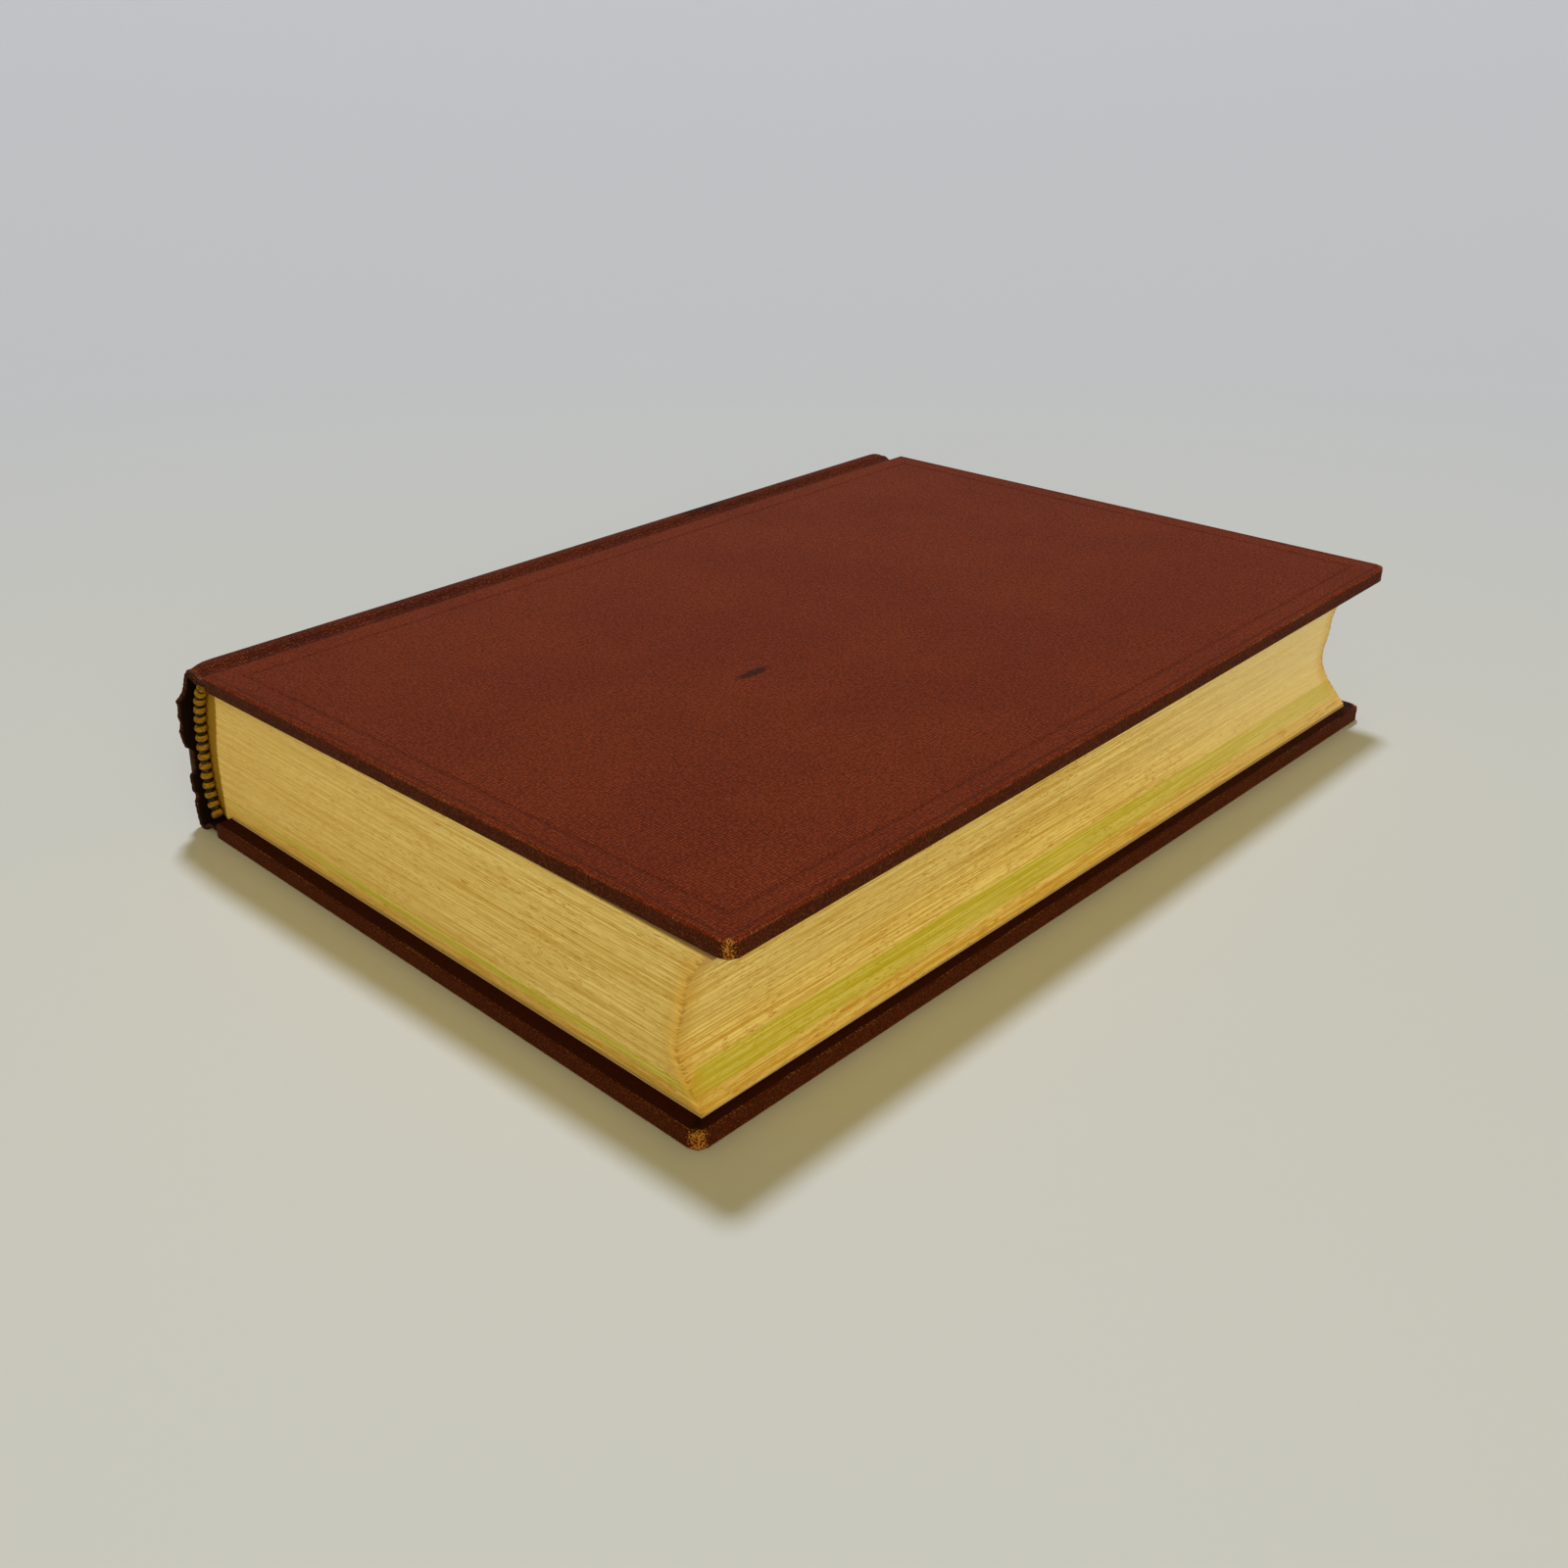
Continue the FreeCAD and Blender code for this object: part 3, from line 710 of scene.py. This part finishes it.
def cover_moved(points):
    """Puts points of the flat cover, cloth face down, where the front cover lies."""
    x, y, z = points[..., 0], -points[..., 1], -points[..., 2]
    c, s = math.cos(LEAN_TURN), math.sin(LEAN_TURN)
    return np.stack([x * c - y * s + LEAN_ACROSS, x * s + y * c + LEAN_ALONG, z + BOOK_THICK], -1)


def face_dip(x, y):
    """How deep the blind line and the hollow inside the free arrises lie at a point of the face."""
    free = np.minimum(HALF_WIDTH - x, HALF_HEIGHT - np.abs(y))
    inset = np.minimum(HALF_WIDTH + x, free)
    from_rule = np.abs(inset - RULE_INSET - RULE_WIDTH / 2) / (RULE_WIDTH / 2)
    hollow = HOLLOW_DEPTH * np.exp(-((free - HOLLOW_INSET) / HOLLOW_WIDTH) ** 2)
    return np.clip(RULE_SIDES - from_rule, 0, 1), hollow


FACE_INSET = 6.4
CORNER_ZONE = 6.0
CORNER_STEPS = 8
STEPS_ACROSS = 52
STEPS_ALONG = 72
UPPER_ARRIS = (0.14, 0.2)
ARRIS = ((0.0, 0.6), (0.04, 0.38), UPPER_ARRIS, (0.3, 0.08), (0.5, 0.02), (0.8, 0.0))
rule_lines = [RULE_INSET + d for d in (-0.25, -0.05, 0.1, 0.35, 0.6, 0.75, 0.95)]
face_x = np.concatenate([
    JOINT_X + np.array([out for out, _ in ARRIS] + [1.6, 2.6, 3.8] + rule_lines),
    np.linspace(JOINT_X + 7.2, HALF_WIDTH - FACE_INSET - CORNER_ZONE, STEPS_ACROSS),
    HALF_WIDTH - FACE_INSET - CORNER_ZONE * (1 - np.arange(1, CORNER_STEPS + 1) / CORNER_STEPS),
])
corner_y = CORNER_ZONE * np.arange(CORNER_STEPS) / CORNER_STEPS
face_y = np.concatenate([
    -HALF_HEIGHT + FACE_INSET + corner_y,
    np.linspace(-1, 1, STEPS_ALONG) * (HALF_HEIGHT - FACE_INSET - CORNER_ZONE),
    (HALF_HEIGHT - FACE_INSET - corner_y)[::-1],
])

# The way from the face over the arrises and the board's edge to the turn-in, as inset and depth.
LOWER_ARRIS = (0.45, 3.17)
WRAP = [(inset, 0.0) for inset in (*rule_lines[::-1], 4.2, 3.2, 2.2, 1.8, 1.5, 1.25, 1.0, 0.75)]
WRAP += ARRIS[-2::-1]
WRAP += [(0.03, 1.1), (0.04, 1.6), (0.03, 2.1), (0.0, 2.6), (0.06, 2.85), (0.2, 3.05), LOWER_ARRIS]
WRAP += [(inset, EDGE_DEPTH) for inset in (0.8, 1.6, 2.6, 5.0, 9.0, 14.6)]
WRAP += [(TURN_IN, 3.0), (TURN_IN, 2.9)]


def corner_quarter(inset):
    """A ring's way to the middle of a fore corner: how far back from it, and how far off its side."""
    radius = max(CORNER_RADIUS - inset, 0.0)
    zone = CORNER_ZONE + FACE_INSET - inset
    straight = zone - radius
    way = np.linspace(0, straight + math.pi * radius / 4, CORNER_STEPS + 1)
    angle = np.clip(way - straight, 0, None) / max(radius, 1e-9)
    return zone - np.minimum(way, straight) - radius * np.sin(angle), radius * (1 - np.cos(angle))


def wrap_ring(inset, depth):
    """Points round tail, fore-edge and head at one inset, starting and ending at the spine side."""
    back, off = corner_quarter(inset)
    x_edge, y_edge = HALF_WIDTH - inset, HALF_HEIGHT - inset
    tail = [(x, -y_edge) for x in face_x[:-CORNER_STEPS - 1]]
    tail += [(x_edge - a, -y_edge + o) for a, o in zip(back, off)]
    tail += [(x_edge - o, -y_edge + a) for a, o in zip(back, off)][-2::-1]
    side = [(x_edge, y) for y in face_y[CORNER_STEPS + 1:-CORNER_STEPS - 1]]
    head = [(x, -y) for x, y in tail[::-1]]
    return np.column_stack([tail + side + head, np.full(2 * len(tail) + len(side), depth)])


def cover_skin(name, front):
    """The cloth over one board, from its spine edge round the three free edges to the turn-ins."""
    grid_x, grid_y = np.meshgrid(face_x, face_y)
    columns, rows = len(face_x), len(face_y)
    rings = np.array([wrap_ring(*step) for step in WRAP])
    around = rings.shape[1]
    face_points = np.stack([grid_x, grid_y, 0 * grid_x], -1)
    points = np.concatenate([face_points.reshape(-1, 3), rings.reshape(-1, 3)])
    on_face = points[:, 2] == 0
    pressed, hollow = face_dip(points[:, 0], points[:, 1])
    pressed *= on_face
    rounding = np.interp(points[:, 0] - JOINT_X, *zip(*ARRIS))
    points[:, 2] = np.maximum(points[:, 2] + on_face * (RULE_DEPTH * pressed + hollow), rounding)

    faces = grid_faces(rows, columns)
    border = list(range(columns)) + [r * columns + columns - 1 for r in range(1, rows)]
    border += [(rows - 1) * columns + c for c in range(columns - 2, -1, -1)]
    start = rows * columns
    faces += [(border[c], start + c, start + c + 1, border[c + 1]) for c in range(around - 1)]
    faces += [face[::-1] for face in grid_faces(len(WRAP), around, first=start)]
    tail_side = [start + r * around for r in range(len(WRAP))]
    head_side = [start + r * around + around - 1 for r in range(len(WRAP))]
    spine_side = [r * columns for r in range(rows)]
    faces.append(tuple(tail_side + head_side[::-1] + spine_side[::-1]))

    # The way in from the upper arris, less than nothing on the board's edge and the turn-in.
    way = np.cumsum([0] + [math.dist(a, b) for a, b in zip(WRAP, WRAP[1:])])
    way = way[WRAP.index(UPPER_ARRIS)] - way
    free = np.minimum(HALF_WIDTH - points[:start, 0], HALF_HEIGHT - np.abs(points[:start, 1]))
    rim = np.concatenate([free, np.repeat(way, around)])
    from_corner = np.hypot(HALF_WIDTH - points[:, 0], HALF_HEIGHT - np.abs(points[:, 1]))
    worn_reach = 2.0 if front else 2.4
    worn = np.exp(-(from_corner / worn_reach) ** 2)

    # The mitre of the turn-ins at each fore corner.
    seam = np.zeros(len(points))
    for step in range(WRAP.index(LOWER_ARRIS), len(WRAP)):
        for turn in (columns - 1, around - columns):
            seam[start + step * around + turn] = 1
    points[:, 2] -= SEAM_DEPTH * seam

    body = "front_cover" if front else "back_cover"
    faces = [face[::-1] for face in faces]
    placed = cover_moved(points) if front else points
    skin = make_piece(name, placed, faces, body, [body + "_cloth"])
    store(skin, rim=rim, corner=worn, pressed=pressed, seam=seam)
    skin.data.materials.append(cover_cloth)
    thickened(skin, CLOTH_THICK)


cover_skin("front_cover_skin", True)
cover_skin("back_cover_skin", False)


# Spine cloth: the same sheet goes on over the two joints and the inlay, and is turned in at head and
# tail. It is darker than the cloth on the boards. Its tail end is chipped and frayed, and has sunk a
# little on its upper side.

# Its cut ends and turned-in folds carry near-black painted shade.
spine_cloth = book_cloth_material(
    "spine_cloth", deep=rgb(72, 27, 12), light=rgb(86, 34, 15), edge_shade=rgb(28, 10, 5),
    inside=rgb(16, 6, 3), marks=[(-70.5, 32, 2.4, 9, 0.8)],
)


def case_outline():
    """The outside of the cloth from one board's spine edge round the spine to the other board's."""
    crown = JOINT_X - 4.2
    return mirrored([
        (JOINT_X + 0.12, 1.0),
        (JOINT_X - 0.3, 1.3),
        (JOINT_X - 1.2, 1.45),
        (JOINT_X - 2.6, 1.45),
        (JOINT_X - 3.7, 1.2),
        (crown - 0.4, 0.1),
        (crown - 1.4, -0.12),
        (crown - 3.1, -0.1),
        (crown - 4.2, 4.6),
        (crown - 5.5, 10.9),
    ])


JOINT_WIDTH = 5.4
FOLD_REACH = 12.0
JOINT_FOLD, SPINE_FOLD = 0.85, 1.5
SPINE_SHIFT = LEAN_ALONG - HALF_WIDTH * math.sin(LEAN_TURN)
SPINE_CLOTH_THICK = 0.3
SINK, SINK_REACH = 1.1, 2.2
END_WEAR_AND_SHADE = 1.2
TAIL_CHIPS = ((10.3, 16.0, 1.0), (5.1, 6.9, 0.5), (19.8, 22.4, 0.4))
CHIP_RISE, CHIP_FALL = 1.2, 0.8
TUFT_AT, TUFT_WIDTH, TUFT_REACH = 26.6, 0.8, 0.6
LIP_AT, LIP_WIDTH, LIP_REACH = 22.5, 5.5, 1.1
along_case = np.linspace(0, 1, 2000)
case_points = smooth_curve(case_outline(), along_case)
joint_end = along_case[np.argmax(case_points[:, 0] < JOINT_X - JOINT_WIDTH)]


def chipped(z):
    """How far the tail end of the spine cloth is worn away, or stands out in threads, at each height."""
    depth = np.zeros_like(z)
    for low, high, deep in TAIL_CHIPS:
        rise = np.clip((z - low) / CHIP_RISE, 0, 1) * np.clip((high - z) / CHIP_FALL, 0, 1)
        depth = np.maximum(depth, deep * np.sqrt(rise))
    tuft = TUFT_REACH * np.exp(-((z - TUFT_AT) / TUFT_WIDTH) ** 2)
    lip = LIP_REACH * np.exp(-((z - LIP_AT) / LIP_WIDTH) ** 4)
    return depth - (tuft + lip) + 0.08 * np.sin(z * 9) * np.sin(z * 3.7)


def sunk(section, inset):
    """How far the ends of the spine cloth have sunk on its upper side."""
    off_joint = np.clip((JOINT_X - 1.6 - section[:, 0]) / 4, 0, 1)
    upper = np.clip((section[:, 1] - 22) / 10, 0, 1)
    return SINK * math.exp(-(inset / SINK_REACH) ** 2) * off_joint * upper


def case_strip(name, low, high, count, body, stands_for=()):
    """The cloth between two stretches of the case's outline, folded over at tail and head."""
    at = np.linspace(low, high, count)
    outer = smooth_curve(case_outline(), at)
    step = smooth_curve(case_outline(), at + 0.0005) - smooth_curve(case_outline(), at - 0.0005)
    step /= np.linalg.norm(step, axis=1)[:, None]
    inward = np.stack([step[:, 1], -step[:, 0]], -1)
    from_board = np.minimum(at, 1 - at) / joint_end
    doubled = np.interp(from_board, (0.8, 1.4), (JOINT_FOLD, SPINE_FOLD))

    # From the middle out to one end and round its fold, as inset from the end and depth in the fold.
    ends = [(e, 0.0) for e in (90, 80, 70, 60, 50, 40, 30, 22, 15, 10, 7, 5, 3.5, 2.4, 1.6, 1, 0.6)]
    fold = np.linspace(0.2, math.pi - 0.2, 9)
    ends += [(0.5 * (1 - math.sin(a)), 0.5 * (1 - math.cos(a))) for a in fold]
    ends += [(0.8, 1.0), (2, 1.0), (6, 1.0), (FOLD_REACH, 1.0)]
    rows, rims = [], []
    for side, inset, depth in [(-1, *end) for end in ends[::-1]] + [(1, *end) for end in ends]:
        section = outer + inward * (depth * doubled)[:, None]
        section[:, 1] -= sunk(section, inset)
        y = np.full(count, side * (HALF_HEIGHT - inset))
        if side < 0:
            y += chipped(outer[:, 1]) * max(0.0, 1 - inset / 6)
        rows.append(leaned(section[:, 0], y, section[:, 1], SPINE_SHIFT))
        # Near the cut end and inside the fold the cloth gets painted shade, and the end is rubbed.
        rims.append(np.full(count, inset - END_WEAR_AND_SHADE if depth < 0.5 else -4 * depth))
    strip = make_piece(name, rows, grid_faces(len(rows), count), body, stands_for)
    unmarked = np.zeros(len(rows) * count)
    store(strip, rim=rims, corner=unmarked, pressed=unmarked, seam=unmarked)
    strip.data.materials.append(spine_cloth)
    thickened(strip, SPINE_CLOTH_THICK)
    return strip


spine_skin = case_strip("spine_skin", joint_end, 1 - joint_end, 130, "text_block", ["spine_cloth"])
back_joint_cloth = case_strip("back_joint_cloth", 0, joint_end, 30, None)
front_joint_cloth = case_strip("front_joint_cloth", 1 - joint_end, 1, 30, None)
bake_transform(back_joint_cloth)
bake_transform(front_joint_cloth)


# Floor: the plain pale surface that the book lies on, matt and even in itself. It is painted a little
# darker and cooler further away from the book's near corner: painted light, standing in for the warm
# front light's falloff.

FLOOR_SIZE = 40
NEAR_CORNER = (120, -150, 0)


def floor_material():
    """Matt, with faint clouds of half a metre, and painted light that dims and cools away from the book.
    """
    material, tree, shader, place = new_material("pale_floor")
    cloud = band_of(tree, noise(tree, place, 0.002, 3), 0.3, 0.7)
    color = blend_colors(tree, cloud, rgb(199, 199, 196), rgb(201, 201, 199))
    away = add(tree, "VectorMath", place, NEAR_CORNER, operation="DISTANCE").outputs["Value"]
    # Painted light: darker and cooler away from the book's near corner, standing in for the warm front
    # light's falloff.
    color = blend_colors(tree, band_of(tree, away, 100, 650), color, rgb(189, 192, 203))
    tree.links.new(color, shader.inputs["Base Color"])
    shader.inputs["Roughness"].default_value = 0.6
    shader.inputs["Specular IOR Level"].default_value = 0.2
    return material


bpy.ops.mesh.primitive_plane_add(size=FLOOR_SIZE, location=(0, 0, 0))
floor = bpy.context.object
floor.name = "floor"
floor.data.materials.append(floor_material())


# Light: a soft lamp above and behind the book leaves a short shadow in front of it, and a wide warm
# one shines on its near sides from the front. The room gives a little light from everywhere.


def soft_light(name, toward, strength, spread, color):
    """An even light from one direction. Its spread is the angle that its diffuser fills, in radians."""
    lamp = bpy.data.lights.new(name, "SUN")
    lamp.energy = strength
    lamp.angle = spread
    lamp.color = color
    holder = bpy.data.objects.new(name, lamp)
    bpy.context.scene.collection.objects.link(holder)
    holder.matrix_world = Vector(toward).to_track_quat("Z", "Y").to_matrix().to_4x4()


soft_light("overhead", (-0.32, 0.33, 1), 1.95, 0.14, (0.88, 0.97, 1.12))
soft_light("front", (0.95, -0.7, 0.5), 1.85, 1.0, (1, 0.85, 0.42))

ROOM_LIGHT = (0.24, 0.21, 0.115, 1)
ROOM_SEEN = rgb(193, 194, 197)
world = bpy.data.worlds.new("room")
bpy.context.scene.world = world
world.use_nodes = True
room = world.node_tree
seen = add(room, "LightPath").outputs
through = sum_of(room, "MAXIMUM", seen["Is Glossy Ray"], seen["Is Transmission Ray"])
direct = sum_of(room, "MAXIMUM", seen["Is Camera Ray"], through)
tone = blend_colors(room, direct, ROOM_LIGHT, ROOM_SEEN)
room.links.new(tone, room.nodes["Background"].inputs["Color"])


# Camera: held a little above the book, off the corner of tail and fore-edge, and looking down at the
# book. Its angles are in radians, its place in metres and its lens in millimetres.

AZIMUTH, ELEVATION, ROLL = 0.76463, 0.46896, -0.00401
CAMERA_PLACE = (0.18815, -0.20953, 0.14055)
FOCAL_LENGTH = 36.19
SENSOR_WIDTH = 36
outward = math.cos(ELEVATION)
behind = Vector((math.sin(AZIMUTH) * outward, -math.cos(AZIMUTH) * outward, math.sin(ELEVATION)))
sideways = Vector((math.cos(AZIMUTH), math.sin(AZIMUTH), 0))
upright = behind.cross(sideways)
right = sideways * math.cos(ROLL) + upright * math.sin(ROLL)
up = upright * math.cos(ROLL) - sideways * math.sin(ROLL)
lens = bpy.data.cameras.new("view")
lens.lens = FOCAL_LENGTH
lens.sensor_width = SENSOR_WIDTH
lens.sensor_fit = "HORIZONTAL"
lens.clip_start = 0.01
camera = bpy.data.objects.new("view", lens)
bpy.context.scene.collection.objects.link(camera)
aimed = Matrix((right, up, behind)).transposed().to_4x4()
camera.matrix_world = Matrix.Translation(CAMERA_PLACE) @ aimed
bpy.context.scene.camera = camera
bpy.context.scene.view_settings.view_transform = "Standard"
